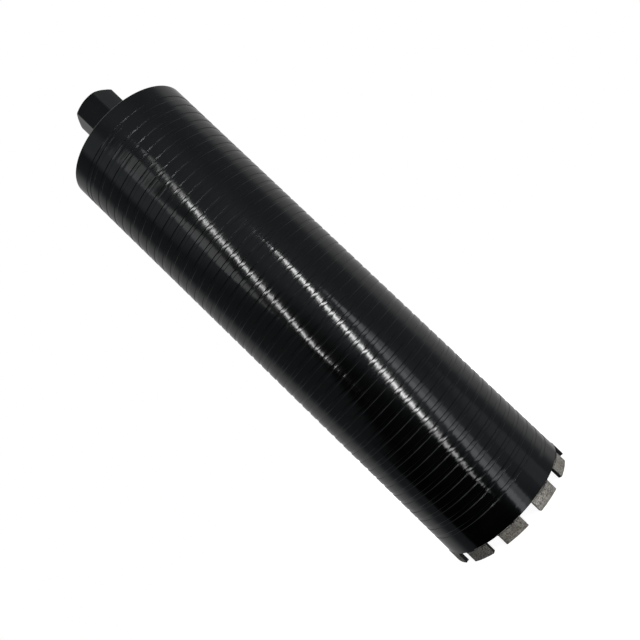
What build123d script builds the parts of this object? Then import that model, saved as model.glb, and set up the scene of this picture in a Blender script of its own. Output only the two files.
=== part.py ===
from build123d import *
from math import degrees, tan, radians
import os

# Diamond core bit for wet drilling: a thin steel barrel, closed at the top by an end plate with
# a hexagon hub, and armed at its lower rim with a crown of curved sintered segments.
# Sizes are in millimetres. The bit stands on its crown: the origin is on the axis in the plane
# of the segment tips, and +Z runs up the barrel to the hub.

# Crown of segments
crown_diameter = 132.0
segment_count = 11
segment_length = 24.0
segment_height = 10.0
segment_tip_chamfer = 1.0
first_segment_azimuth = -67.8

# How far each segment stands out of the barrel's wall, which gives the barrel its clearance
outside_clearance = 0.6
core_clearance = 0.8

# Barrel
barrel_length = 471.0
barrel_wall = 2.2
barrel_rim_bevel = 0.5

# End plate
plate_thickness = 10.0
plate_weld_bevel = 1.5

# Hexagon hub with its round spigot and its bore, which is the tapping size of a 1 1/4" - 7 thread
hub_across_flats = 41.0
hub_height = 52.0
hub_corner_azimuth = -71.3
hub_face_diameter = 39.0
hub_corner_angle = 30.0
spigot_diameter = 37.0
thread_bore_diameter = 28.1
thread_mouth_diameter = 33.0

# Radii and levels worked out from the sizes above
crown_radius = crown_diameter / 2
barrel_radius = crown_radius - outside_clearance
barrel_bore_radius = barrel_radius - barrel_wall
segment_bore_radius = barrel_bore_radius - core_clearance
segment_half_angle = degrees(segment_length / 2 / crown_radius)
barrel_top = segment_height + barrel_length
plate_underside = barrel_top - plate_thickness
hub_top = barrel_top + hub_height
thread_bore_radius = thread_bore_diameter / 2
mouth_radius = thread_mouth_diameter / 2
face_radius = hub_face_diameter / 2

os.makedirs("parts", exist_ok=True)

# Barrel: an open tube that sits on the segments, its upper outer edge broken by a small bevel
with BuildPart() as barrel_tube:
    with BuildSketch(Plane.XY.offset(segment_height)):
        Circle(barrel_radius)
        Circle(barrel_bore_radius, mode=Mode.SUBTRACT)
    extrude(amount=barrel_length)
    upper_rim = barrel_tube.faces().sort_by(Axis.Z)[-1]
    chamfer(upper_rim.edges().sort_by(SortBy.RADIUS)[-1], barrel_rim_bevel)

barrel_tube.part.label = "barrel_tube"
export_step(barrel_tube.part, "parts/barrel_tube.step")

# End plate: a disc that closes the barrel flush with its upper rim. Its outer edge and the edge
# round the hub are bevelled for their weld seams, and the hub's spigot fills its bore
with BuildPart() as end_plate:
    with BuildSketch(Plane.XY.offset(plate_underside)):
        Circle(barrel_bore_radius)
        Circle(spigot_diameter / 2, mode=Mode.SUBTRACT)
    extrude(amount=plate_thickness)
    plate_face = end_plate.faces().sort_by(Axis.Z)[-1]
    chamfer(plate_face.edges().sort_by(SortBy.RADIUS)[-1], plate_weld_bevel)

end_plate.part.label = "end_plate"
export_step(end_plate.part, "parts/end_plate.step")

# Hub: a hexagon bar with a turned spigot below it, bored through for the drill's water
with BuildPart() as hex_hub:
    with BuildSketch(Plane.XY.offset(plate_underside)):
        Circle(spigot_diameter / 2)
    extrude(amount=plate_thickness)
    with BuildSketch(Plane.XY.offset(barrel_top)):
        RegularPolygon(
            radius=hub_across_flats / 2,
            side_count=6,
            major_radius=False,
            rotation=hub_corner_azimuth,
        )
    extrude(amount=hub_height)
    # The free end is turned to a shallow cone, which cuts the six corners back in curves
    with BuildSketch(Plane.XZ):
        with BuildLine():
            cone_run = hub_across_flats
            cone_drop = cone_run * tan(radians(hub_corner_angle))
            Polyline(
                (face_radius, hub_top),
                (face_radius + cone_run, hub_top),
                (face_radius + cone_run, hub_top - cone_drop),
                close=True,
            )
        make_face()
    revolve(axis=Axis.Z, mode=Mode.SUBTRACT)
    # Threaded bore, countersunk at its mouth
    with BuildSketch(Plane.XZ):
        with BuildLine():
            mouth_depth = mouth_radius - thread_bore_radius
            Polyline(
                (0, plate_underside),
                (thread_bore_radius, plate_underside),
                (thread_bore_radius, hub_top - mouth_depth),
                (mouth_radius, hub_top),
                (0, hub_top),
                close=True,
            )
        make_face()
    revolve(axis=Axis.Z, mode=Mode.SUBTRACT)

hex_hub.part.label = "hex_hub"
export_step(hex_hub.part, "parts/hex_hub.step")

# Segments: curved blocks brazed upright to the barrel's lower rim, evenly spaced round it,
# each with the edges of its cutting face broken
for position in range(segment_count):
    azimuth = first_segment_azimuth + position * 360 / segment_count
    with BuildPart() as segment:
        with BuildSketch(Plane.XY):
            with BuildLine():
                start = azimuth - segment_half_angle
                outer = CenterArc((0, 0), crown_radius, start, 2 * segment_half_angle)
                inner = CenterArc((0, 0), segment_bore_radius, start, 2 * segment_half_angle)
                Line(outer @ 0, inner @ 0)
                Line(outer @ 1, inner @ 1)
            make_face()
        extrude(amount=segment_height)
        cutting_face = segment.faces().sort_by(Axis.Z)[0]
        chamfer(cutting_face.edges(), segment_tip_chamfer)

    node = f"segment_{position + 1:02d}"
    segment.part.label = node
    export_step(segment.part, f"parts/{node}.step")
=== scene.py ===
"""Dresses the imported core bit: grooved barrel, threaded hub, weld seams, crown and studio.

Every length is in metres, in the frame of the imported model: the bit stands on its crown, the
origin is on its axis in the plane of the segment tips, and +Z runs up to the hub.
"""

import logging
from dataclasses import dataclass, field
from enum import Enum
from math import cos, pi, radians, sin, tan
from typing import Any, Callable, Optional, Union

import bmesh
import bpy
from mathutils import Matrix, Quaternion, Vector


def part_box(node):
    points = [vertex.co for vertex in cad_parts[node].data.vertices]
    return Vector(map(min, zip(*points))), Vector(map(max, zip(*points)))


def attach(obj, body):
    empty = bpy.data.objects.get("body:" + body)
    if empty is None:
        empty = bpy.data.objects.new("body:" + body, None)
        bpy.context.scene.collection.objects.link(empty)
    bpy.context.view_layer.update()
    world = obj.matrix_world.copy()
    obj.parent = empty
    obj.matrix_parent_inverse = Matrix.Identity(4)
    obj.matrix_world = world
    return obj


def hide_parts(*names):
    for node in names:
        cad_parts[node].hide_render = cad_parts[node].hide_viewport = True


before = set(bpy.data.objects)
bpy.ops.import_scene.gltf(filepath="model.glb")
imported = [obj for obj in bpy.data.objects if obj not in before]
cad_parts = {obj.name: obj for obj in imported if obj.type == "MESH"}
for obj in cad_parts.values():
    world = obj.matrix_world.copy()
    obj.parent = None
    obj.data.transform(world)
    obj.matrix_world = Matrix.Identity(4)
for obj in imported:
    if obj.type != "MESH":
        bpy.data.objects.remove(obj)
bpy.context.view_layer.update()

log = logging.getLogger("core_bit")

MM = 0.001
FULL_TURN = 2 * pi
SIXTH_TURN = pi / 3
BODY = "root"
WELD_DISTANCE = 0.002 * MM
SMALLEST = 1e-9
WHITE = (1.0, 1.0, 1.0, 1.0)

Colour = tuple[float, float, float]
Span = tuple[float, float]
Material = bpy.types.Material
Node = bpy.types.Node
Socket = bpy.types.NodeSocket
Tree = bpy.types.NodeTree


class Slot(Enum):
    """The record's material slots."""

    PAINT = "black_paint"
    SEGMENT = "sintered_segment"


class TreeKind(Enum):
    """The two kinds of node tree that the scene builds."""

    GEOMETRY = "GeometryNodeTree"
    SHADER = "ShaderNodeTree"


class SocketKind(Enum):
    """What an input or an output of a group carries."""

    NUMBER = "NodeSocketFloat"
    WHOLE = "NodeSocketInt"
    VECTOR = "NodeSocketVector"
    MESH = "NodeSocketGeometry"
    FINISH = "NodeSocketMaterial"

    @classmethod
    def of(cls, value: Any) -> "SocketKind":
        """The kind that carries a material, a whole number or another number."""
        if isinstance(value, Material):
            return cls.FINISH
        return cls.WHOLE if isinstance(value, int) else cls.NUMBER


def sign(operation: str, turned: bool = False) -> Callable[["Term", "Number"], "Term"]:
    """Writes one of Python's signs as a Math node.

    Args:
        operation: The node's operation.
        turned: Whether the term stands to the right of the sign.

    Returns:
        The method that stands for the sign.
    """

    def work_out(term: "Term", other: "Number") -> "Term":
        """Adds the Math node."""
        pair = (other, term) if turned else (term, other)
        return term.sheet.math(operation, *pair)

    return work_out


@dataclass(eq=False)
class Term:
    """A number that a node tree works out, written with Python's own signs."""

    sheet: "NodeSheet"
    socket: Socket

    __add__ = sign("ADD")
    __radd__ = sign("ADD", turned=True)
    __sub__ = sign("SUBTRACT")
    __rsub__ = sign("SUBTRACT", turned=True)
    __mul__ = sign("MULTIPLY")
    __rmul__ = sign("MULTIPLY", turned=True)
    __truediv__ = sign("DIVIDE")


Number = Union[int, float, Term]


class NodeSheet:
    """A node tree under construction, with short ways to add and join its nodes."""

    def __init__(self, tree: Tree) -> None:
        """Starts from a tree that exists."""
        self.tree = tree
        self.entry: Optional[Node] = None
        self.exit: Optional[Node] = None

    @classmethod
    def group(cls, name: str, kind: TreeKind) -> "NodeSheet":
        """Makes a new group with an entry and an exit.

        Args:
            name: The group's name.
            kind: Whether it shapes meshes or colours surfaces.

        Returns:
            The sheet of the new group.
        """
        sheet = cls(bpy.data.node_groups.new(name, kind.value))
        sheet.entry = sheet.node("NodeGroupInput")
        sheet.exit = sheet.node("NodeGroupOutput")
        return sheet

    def ask(
        self, name: str, kind: SocketKind = SocketKind.NUMBER, default: Optional[float] = None
    ) -> Term:
        """Adds a named input to the group.

        Args:
            name: The input's name.
            kind: What it carries.
            default: Its default value, if it has one.

        Returns:
            The input, as a term.
        """
        socket = self.tree.interface.new_socket(name, in_out="INPUT", socket_type=kind.value)
        if default is not None:
            socket.default_value = default
        return Term(self, self.entry.outputs[name])

    def asks(self, *names: str, kind: SocketKind = SocketKind.NUMBER) -> list[Term]:
        """Adds several inputs of one kind, in the order of their names."""
        return [self.ask(name, kind) for name in names]

    def ask_for(self, sizes: dict[str, Any]) -> dict[str, Term]:
        """Adds an input for each of a piece's values, under the value's name."""
        return {name: self.ask(name, SocketKind.of(value)) for name, value in sizes.items()}

    def give(self, name: str, value: Any, kind: SocketKind = SocketKind.NUMBER) -> None:
        """Adds a named output to the group and feeds it.

        Args:
            name: The output's name.
            value: What it gives.
            kind: What it carries.
        """
        self.tree.interface.new_socket(name, in_out="OUTPUT", socket_type=kind.value)
        self.feed(self.exit.inputs[name], value)

    def feed(self, socket: Socket, value: Any) -> None:
        """Links a socket to a term or another socket, or sets it to a constant."""
        if isinstance(value, Term):
            value = value.socket
        if isinstance(value, Socket):
            self.tree.links.new(value, socket)
        else:
            socket.default_value = value

    def node(
        self, kind: str, inputs: Optional[dict[Union[str, int], Any]] = None, **settings: Any
    ) -> Node:
        """Adds a node.

        Args:
            kind: Its type.
            inputs: What its sockets get, by name or number.
            settings: Its own properties.

        Returns:
            The new node.
        """
        made = self.tree.nodes.new(kind)
        for key, value in settings.items():
            setattr(made, key, value)
        for key, value in (inputs or {}).items():
            self.feed(made.inputs[key], value)
        return made

    def nest(self, group: Tree, inputs: dict[str, Any]) -> dict[str, Term]:
        """Puts a group into this tree with its own values.

        Args:
            group: The group.
            inputs: The values of its inputs, by name.

        Returns:
            Its outputs, by name.
        """
        kind = "ShaderNodeGroup" if group.type == "SHADER" else "GeometryNodeGroup"
        made = self.node(kind, inputs, node_tree=group)
        return {socket.name: Term(self, socket) for socket in made.outputs}

    def math(self, operation: str, *values: Number, clamp: bool = False) -> Term:
        """Adds a Math node.

        Args:
            operation: Its operation.
            values: Its operands.
            clamp: Whether the result is kept between 0 and 1.

        Returns:
            The result.
        """
        made = self.node(
            "ShaderNodeMath", dict(enumerate(values)), operation=operation, use_clamp=clamp
        )
        return Term(self, made.outputs[0])

    def least(self, first: Number, second: Number) -> Term:
        """The smaller of two numbers."""
        return self.math("MINIMUM", first, second)

    def most(self, first: Number, second: Number) -> Term:
        """The larger of two numbers."""
        return self.math("MAXIMUM", first, second)

    def size_of(self, value: Number) -> Term:
        """A number without its sign."""
        return self.math("ABSOLUTE", value)

    def share(self, value: Number) -> Term:
        """A number kept between 0 and 1."""
        return self.math("ADD", value, 0.0, clamp=True)

    def ramp(self, value: Number, low: Number, high: Number, smooth: bool = True) -> Term:
        """Goes from 0 to 1 as a number goes from low to high.

        Args:
            value: The number.
            low: Where the result is 0.
            high: Where the result is 1.
            smooth: Whether the ends are eased.

        Returns:
            The share of the way, from 0 to 1.
        """
        made = self.node(
            "ShaderNodeMapRange",
            {"Value": value, "From Min": low, "From Max": high},
            interpolation_type="SMOOTHSTEP" if smooth else "LINEAR",
        )
        return Term(self, made.outputs[0])

    def blend(self, share: Number, first: Number, second: Number) -> Term:
        """Mixes two numbers: the first at share 0 and the second at share 1."""
        made = self.node("ShaderNodeMix", {0: share, 2: first, 3: second}, data_type="FLOAT")
        return Term(self, made.outputs[0])

    def tint(self, share: Number, first: Any, second: Any) -> Socket:
        """Mixes two colours: the first at share 0 and the second at share 1."""
        first, second = (
            (*colour, 1.0) if isinstance(colour, tuple) else colour for colour in (first, second)
        )
        made = self.node("ShaderNodeMix", {0: share, 6: first, 7: second}, data_type="RGBA")
        return made.outputs[2]

    def bump(self, height: Term, depth: float, strength: float = 1.0) -> Socket:
        """The normal over a relief that is too fine for the mesh.

        Args:
            height: The height, in shares of the depth.
            depth: How deep it goes, in metres.
            strength: How much of it shows.

        Returns:
            The normal.
        """
        return self.node(
            "ShaderNodeBump", {"Height": height, "Distance": depth, "Strength": strength}
        ).outputs["Normal"]

    def split(self, vector: Any) -> tuple[Term, Term, Term]:
        """The three parts of a vector."""
        x, y, z = self.node("ShaderNodeSeparateXYZ", {0: vector}).outputs
        return Term(self, x), Term(self, y), Term(self, z)

    def join(self, x: Number, y: Number, z: Number) -> Socket:
        """A vector of three parts."""
        return self.node("ShaderNodeCombineXYZ", {0: x, 1: y, 2: z}).outputs[0]

    def around(self, radius: Number, azimuth: Number, level: Number) -> Socket:
        """The place at a radius, an azimuth and a level round the axis."""
        across, deep = self.math("COSINE", azimuth), self.math("SINE", azimuth)
        return self.join(radius * across, radius * deep, level)

    def here(self) -> Socket:
        """The place of each point of the geometry that reads it."""
        return self.node("GeometryNodeInputPosition").outputs[0]

    def noise(self, vector: Any, scale: Number, detail: float = 2.0, seed: Number = 0.0) -> Term:
        """Adds a Noise Texture of a fixed seed.

        Args:
            vector: Where it is read.
            scale: Its cells per metre.
            detail: Its octaves.
            seed: Its fourth coordinate.

        Returns:
            The noise, from 0 to 1.
        """
        made = self.node(
            "ShaderNodeTexNoise",
            {"Vector": vector, "W": seed, "Scale": scale, "Detail": detail},
            noise_dimensions="4D",
        )
        return Term(self, made.outputs["Fac"])

    def drawn(self, low: float, high: float, seed: Term) -> Socket:
        """A vector whose parts are drawn between two limits, for each point by a fixed seed."""
        return self.node(
            "FunctionNodeRandomValue",
            {0: (low, low, low), 1: (high, high, high), "Seed": seed},
            data_type="FLOAT_VECTOR",
        ).outputs[0]

    def store(self, mesh: Any, name: str, value: Term) -> Socket:
        """Stores a number on a mesh's points, under a name that the finish reads."""
        return self.node(
            "GeometryNodeStoreNamedAttribute",
            {"Geometry": mesh, "Name": name, "Value": value},
            data_type="FLOAT",
            domain="POINT",
        ).outputs[0]

    def stored(self, name: str) -> Term:
        """In a finish, the number that the piece's tree has stored under a name."""
        return Term(self, self.node("ShaderNodeAttribute", attribute_name=name).outputs["Fac"])

    def grid(self, columns: Number, rows: Number) -> Socket:
        """A flat grid round the origin, whose cells are one unit across."""
        return self.node(
            "GeometryNodeMeshGrid",
            {"Size X": columns, "Size Y": rows, "Vertices X": columns + 1, "Vertices Y": rows + 1},
        ).outputs["Mesh"]

    def move(self, mesh: Any, place: Socket) -> Socket:
        """The geometry with its points set to other places."""
        made = self.node("GeometryNodeSetPosition", {"Geometry": mesh, "Position": place})
        return made.outputs[0]

    def paint(self, mesh: Any, finish: Term) -> Socket:
        """The mesh with one finish all over."""
        made = self.node("GeometryNodeSetMaterial", {"Geometry": mesh, "Material": finish})
        return made.outputs[0]

    def realize(self, mesh: Any) -> Socket:
        """The geometry with its instances made real."""
        return self.node("GeometryNodeRealizeInstances", {"Geometry": mesh}).outputs[0]

    def unite(self, *parts: Any) -> Socket:
        """The parts as one geometry."""
        joined = self.node("GeometryNodeJoinGeometry")
        for part in parts:
            self.feed(joined.inputs[0], part)
        return joined.outputs[0]

    def weld(self, *parts: Any) -> Socket:
        """The parts as one mesh, with its instances real and the points that meet made one."""
        merged = self.node(
            "GeometryNodeMergeByDistance",
            {"Geometry": self.unite(*parts), "Distance": WELD_DISTANCE},
        )
        return self.realize(merged.outputs[0])

    def bead(self, curve: Socket, sides: int, radius: Term, capped: bool = False) -> Socket:
        """A round bead along a curve.

        Args:
            curve: The curve.
            sides: How many faces go round the bead.
            radius: Its radius at each point of the curve.
            capped: Whether its ends are closed.

        Returns:
            The bead's mesh.
        """
        ring = self.node("GeometryNodeCurvePrimitiveCircle", {"Resolution": sides, "Radius": 1.0})
        inputs = {"Curve": curve, "Profile Curve": ring.outputs[0], "Scale": radius}
        made = self.node("GeometryNodeCurveToMesh", {**inputs, "Fill Caps": capped})
        return made.outputs[0]

    def polyline(self, row: Term, points: list[tuple[Number, Number]]) -> tuple[Term, Term]:
        """Reads a chain of points by row number, with straight runs between them.

        Args:
            row: The row number, from 0.
            points: The points, as pairs of radius and level.

        Returns:
            The radius and the level at that row.
        """
        radius = self.math("ADD", points[0][0], 0.0)
        level = self.math("ADD", points[0][1], 0.0)
        for index, (start, end) in enumerate(zip(points, points[1:])):
            step = self.math("SUBTRACT", row, float(index), clamp=True)
            radius = radius + step * self.math("SUBTRACT", end[0], start[0])
            level = level + step * self.math("SUBTRACT", end[1], start[1])
        return radius, level


def spot(radius: float, azimuth: float, level: float) -> Vector:
    """The place at a radius, an azimuth in radians and a level round the axis."""
    return Vector((radius * cos(azimuth), radius * sin(azimuth), level))


def shown(name: str, data: bpy.types.ID) -> bpy.types.Object:
    """Puts a mesh, a lamp or a camera into the scene at the origin, under a name."""
    made = bpy.data.objects.new(name, data)
    bpy.context.scene.collection.objects.link(made)
    return made


def meshed(name: str, work: bmesh.types.BMesh) -> bpy.types.Mesh:
    """Keeps what was worked on as a mesh with a name."""
    mesh = bpy.data.meshes.new(name)
    work.to_mesh(mesh)
    work.free()
    return mesh


def cleared(owner: Union[Material, bpy.types.World]) -> NodeSheet:
    """Empties the nodes of a material or a world and opens its sheet."""
    owner.use_nodes = True
    owner.node_tree.nodes.clear()
    return NodeSheet(owner.node_tree)


def settle(piece: bpy.types.Object) -> None:
    """Replaces a piece's mesh by what its modifiers make of it, and drops the modifiers."""
    piece.update_tag()
    bpy.context.view_layer.update()
    seen = piece.evaluated_get(bpy.context.evaluated_depsgraph_get())
    plain = bpy.data.meshes.new_from_object(seen)
    piece.modifiers.clear()
    piece.data = plain
    plain.name = piece.name


def grow(
    name: str, tree: Tree, sizes: dict[str, Any], base: Optional[bpy.types.Mesh] = None
) -> bpy.types.Object:
    """Runs a geometry tree and keeps the plain mesh that it makes.

    Args:
        name: The piece's name.
        tree: The geometry tree.
        sizes: Values by name, of which the tree takes those that it asks for.
        base: The mesh that the tree starts from, if it needs one.

    Returns:
        The piece.
    """
    piece = shown(name, base or bpy.data.meshes.new(name))
    modifier = piece.modifiers.new("form", "NODES")
    modifier.node_group = tree
    for item in tree.interface.items_tree:
        if item.item_type == "SOCKET" and item.in_out == "INPUT" and item.name in sizes:
            modifier[item.identifier] = sizes[item.name]
    settle(piece)
    return piece


def shade(piece: bpy.types.Object, sharp_angle: float) -> None:
    """Shades a mesh smooth, but for edges that turn by more than an angle in degrees."""
    piece.data.shade_smooth()
    piece.data.set_sharp_from_angle(angle=radians(sharp_angle))


def close_up(piece: bpy.types.Object, sharp_angle: float) -> None:
    """Welds a mesh, turns its faces outwards and shades it smooth up to an angle in degrees."""
    work = bmesh.new()
    work.from_mesh(piece.data)
    bmesh.ops.remove_doubles(work, verts=work.verts, dist=WELD_DISTANCE)
    bmesh.ops.dissolve_degenerate(work, edges=work.edges, dist=WELD_DISTANCE)
    bmesh.ops.recalc_face_normals(work, faces=work.faces)
    work.to_mesh(piece.data)
    work.free()
    shade(piece, sharp_angle)


def flatten_shading(piece: bpy.types.Object) -> None:
    """Lets large faces rule the shading at their edges, so that flats look flat."""
    even = piece.modifiers.new("even_flats", "WEIGHTED_NORMAL")
    even.keep_sharp = True
    even.weight = 100
    settle(piece)


def hand_over(piece: bpy.types.Object, slot: Slot, *nodes: str) -> None:
    """Lets a finished piece ride on the bit, hides the CAD nodes that it replaces and logs its
    triangles.

    Args:
        piece: The piece.
        slot: The record's material slot. It is not used.
        nodes: The CAD nodes that it replaces.
    """
    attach(piece, BODY)
    if nodes:
        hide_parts(*nodes)
    triangles = sum(len(face.vertices) - 2 for face in piece.data.polygons)
    log.info("%s: %d triangles", piece.name, triangles)


class Effects:
    """The surface effects that more than one finish uses, each a node group."""

    def __init__(self) -> None:
        """Builds the groups once."""
        self.peel = self._orange_peel()
        self.rings = self._turning_marks()
        self.specks = self._specks()
        self.grain = self._grain()

    @staticmethod
    def _orange_peel() -> Tree:
        """Soft dimples over long waves, as sprayed paint and cast skins have them."""
        sheet = NodeSheet.group("orange_peel", TreeKind.SHADER)
        where = sheet.ask("Where", SocketKind.VECTOR)
        dimple = sheet.ask("Dimples per Metre", default=700.0)
        wave = sheet.ask("Waves per Metre", default=60.0)
        balance = sheet.ask("Wave Share", default=0.6)
        small = sheet.noise(where, dimple, detail=1.0, seed=1.7)
        large = sheet.noise(where, wave, detail=1.0, seed=4.2)
        sheet.give("Height", sheet.blend(balance, small, large))
        sheet.give("Patch", sheet.ramp(large, 0.35, 0.65))
        return sheet.tree

    @staticmethod
    def _turning_marks() -> Tree:
        """Fine rings round the axis, as a lathe leaves them."""
        sheet = NodeSheet.group("turning_marks", TreeKind.SHADER)
        where = sheet.ask("Where", SocketKind.VECTOR)
        count = sheet.ask("Rings per Metre", default=1500.0)
        drift = sheet.ask("Drift", default=0.02)
        x, y, z = sheet.split(where)
        stretched = sheet.join(x * drift, y * drift, z)
        fine = sheet.noise(stretched, count, detail=2.0, seed=2.9)
        coarse = sheet.noise(stretched, count * 0.17, detail=1.0, seed=7.3)
        sheet.give("Height", fine * 0.6 + coarse * 0.4)
        sheet.give("Patch", sheet.ramp(coarse, 0.4, 0.62))
        return sheet.tree

    @staticmethod
    def _specks() -> Tree:
        """Scattered small spots, for dust and pits."""
        sheet = NodeSheet.group("specks", TreeKind.SHADER)
        where = sheet.ask("Where", SocketKind.VECTOR)
        count = sheet.ask("Spots per Metre", default=300.0)
        size = sheet.ask("Spot Size", default=0.12)
        cells = sheet.node(
            "ShaderNodeTexVoronoi", {"Vector": where, "Scale": count}, voronoi_dimensions="3D"
        )
        near = Term(sheet, cells.outputs["Distance"])
        edge = size * sheet.split(cells.outputs["Color"])[0]
        sheet.give("Mask", 1.0 - sheet.ramp(near, edge * 0.5, edge))
        return sheet.tree

    @staticmethod
    def _grain() -> Tree:
        """Rough grain over two scales, as pressed and sintered powder has it."""
        sheet = NodeSheet.group("grain", TreeKind.SHADER)
        where = sheet.ask("Where", SocketKind.VECTOR)
        count = sheet.ask("Grains per Metre", default=2500.0)
        fine = sheet.noise(where, count, detail=4.0, seed=0.4)
        coarse = sheet.noise(where, count * 0.2, detail=3.0, seed=9.1)
        sheet.give("Height", fine * 0.55 + coarse * 0.45)
        sheet.give("Patch", sheet.ramp(coarse, 0.36, 0.64))
        sheet.give("Spark", sheet.ramp(fine, 0.58, 0.7))
        return sheet.tree


@dataclass(frozen=True)
class Finish:
    """What every finish shares: a name, a colour and the frame of its material."""

    name: str
    colour: Colour

    def build(self, effects: Effects) -> Material:
        """Makes the material.

        Args:
            effects: The shared effects.

        Returns:
            The material.
        """
        material = bpy.data.materials.new(self.name)
        material.diffuse_color = (*self.colour, 1.0)
        sheet = cleared(material)
        shader = sheet.node("ShaderNodeBsdfPrincipled")
        sheet.node("ShaderNodeOutputMaterial", {"Surface": shader.outputs["BSDF"]})
        where = sheet.node("ShaderNodeTexCoord").outputs["Object"]
        for name, value in self.draw(sheet, where, effects).items():
            sheet.feed(shader.inputs[name], value)
        return material

    def draw(self, sheet: NodeSheet, where: Socket, effects: Effects) -> dict[str, Any]:
        """Draws the nodes that make the finish what it is.

        Args:
            sheet: The material's sheet.
            where: The place on the piece, in metres.
            effects: The shared effects.

        Returns:
            What the shader's inputs get, by name.
        """
        raise NotImplementedError(self.name)

    def shades(self, sheet: NodeSheet, share: Number, low: float, high: float) -> Socket:
        """The finish's colour, at one strength for share 0 and at another for share 1."""
        first = tuple(part * low for part in self.colour)
        second = tuple(part * high for part in self.colour)
        return sheet.tint(share, first, second)


@dataclass(frozen=True)
class BlackPaint(Finish):
    """Semi-gloss black paint over turned steel, dull on the groove's flanks and in the barrel."""

    name: str = "black_paint"
    colour: Colour = (0.0016, 0.0017, 0.0018)
    inner_colour: Colour = (0.016, 0.015, 0.014)
    flank_colour: Colour = (0.0035, 0.0035, 0.0036)
    dust_colour: Colour = (0.03, 0.03, 0.028)
    ior: float = 1.5
    roughness: float = 0.095
    inner_roughness: float = 0.48
    flank_roughness: float = 0.4
    inner_radius: float = 63.6 * MM
    inner_fade: float = 0.2 * MM
    hub_levels: Span = (0.4795, 0.4805)
    dust_cover: float = 0.5
    peel_height: float = 0.02 * MM
    peel_part: float = 0.7
    ring_part: float = 4.8

    def draw(self, sheet: NodeSheet, where: Socket, effects: Effects) -> dict[str, Any]:
        """Draws orange peel over turning marks, a little dust, and the dull places."""
        peel = sheet.nest(
            effects.peel, {"Where": where, "Dimples per Metre": 620.0, "Waves per Metre": 55.0}
        )
        rings = sheet.nest(effects.rings, {"Where": where, "Rings per Metre": 330.0, "Drift": 0.2})
        dust = sheet.nest(
            effects.specks, {"Where": where, "Spots per Metre": 420.0, "Spot Size": 0.08}
        )
        x, y, z = sheet.split(where)
        radius = sheet.math("SQRT", x * x + y * y)
        on_hub = sheet.ramp(z, *self.hub_levels)
        inside = 1.0 - sheet.ramp(radius, self.inner_radius - self.inner_fade, self.inner_radius)
        inside = inside * (1.0 - on_hub)
        dusty = dust["Mask"] * self.dust_cover
        flank = sheet.stored("flank")
        colour = self.shades(sheet, peel["Patch"], 0.85, 1.2)
        colour = sheet.tint(inside, colour, self.inner_colour)
        colour = sheet.tint(dusty, colour, self.dust_colour)
        gloss = self.roughness + rings["Patch"] * 0.025 + dusty * 0.3
        gloss = sheet.blend(flank, gloss, self.flank_roughness)
        turned = rings["Height"] * (1.0 - on_hub) * self.ring_part
        return {
            "Base Color": sheet.tint(flank, colour, self.flank_colour),
            "IOR": self.ior,
            "Roughness": sheet.blend(inside, gloss, self.inner_roughness),
            "Normal": sheet.bump(peel["Height"] * self.peel_part + turned, self.peel_height),
        }


@dataclass(frozen=True)
class SinteredMetal(Finish):
    """Grey-brown sintered metal powder: pitted, with painted shade in its pits, smeared, glinting,
    and painted at its rims.
    """

    name: str = "sintered_segment"
    colour: Colour = (0.226, 0.211, 0.185)
    paint_colour: Colour = (0.004, 0.004, 0.004)
    bright_colour: Colour = (0.62, 0.6, 0.56)
    smear_colour: Colour = (0.07, 0.064, 0.056)
    # The near-black that the pits are tinted towards: painted shade in the dents
    pit_shade_colour: Colour = (0.02, 0.018, 0.016)
    metallic: float = 0.3
    roughness: float = 0.6
    paint_roughness: float = 0.5
    grain_height: float = 0.09 * MM
    root_level: float = 10.0 * MM
    root_reach: float = 0.45 * MM
    root_ragged: float = 3.0 * MM

    def draw(self, sheet: NodeSheet, where: Socket, effects: Effects) -> dict[str, Any]:
        """Draws the mottled matrix with its glints, its pits darkened with painted shade, and the
        paint over its rims.
        """
        grain = sheet.nest(effects.grain, {"Where": where, "Grains per Metre": 3400.0})
        holes = sheet.nest(
            effects.specks, {"Where": where, "Spots per Metre": 620.0, "Spot Size": 0.4}
        )
        smears = sheet.noise(where, 150.0, detail=3.0, seed=3.3)
        mottle = sheet.noise(where, 900.0, detail=2.0, seed=5.8)
        colour = self.shades(sheet, sheet.ramp(mottle, 0.36, 0.64), 0.55, 1.5)
        colour = sheet.tint(sheet.ramp(smears, 0.48, 0.66) * 0.5, colour, self.smear_colour)
        worn = sheet.ramp(sheet.noise(where, 48.0, detail=1.0, seed=1.9), 0.45, 0.6)
        glint = sheet.ramp(sheet.noise(where, 1150.0, detail=1.0, seed=8.8), 0.5, 0.62) * worn
        spark = sheet.share(grain["Spark"] * 0.5 + glint * 0.8)
        colour = sheet.tint(spark, colour, self.bright_colour)
        # The pits and holes are darkened towards a near-black colour: painted shade in the dents
        pit = sheet.share(sheet.stored("pit") + holes["Mask"] * 0.8)
        colour = sheet.tint(pit * 0.85, colour, self.pit_shade_colour)

        # Paint covers the end faces, and a ragged band of it creeps over the root
        _, _, level = sheet.split(where)
        ragged = (sheet.noise(where, 700.0, detail=3.0, seed=6.6) - 0.5) * self.root_ragged
        band = self.root_level - self.root_reach
        creep = sheet.ramp(level + ragged, band - 0.2 * MM, band + 0.1 * MM)
        painted = sheet.share(sheet.stored("end_face") + creep)
        bare = 1.0 - painted
        rough = self.roughness - spark * 0.25 + pit * 0.2
        height = (grain["Height"] + mottle - pit * 0.8) * (bare * 0.7 + 0.3)
        return {
            "Base Color": sheet.tint(painted, colour, self.paint_colour),
            "Metallic": (self.metallic + spark * 0.6) * bare,
            "Roughness": sheet.blend(painted, rough, self.paint_roughness),
            "Normal": sheet.bump(height, self.grain_height, 0.8),
        }


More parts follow.
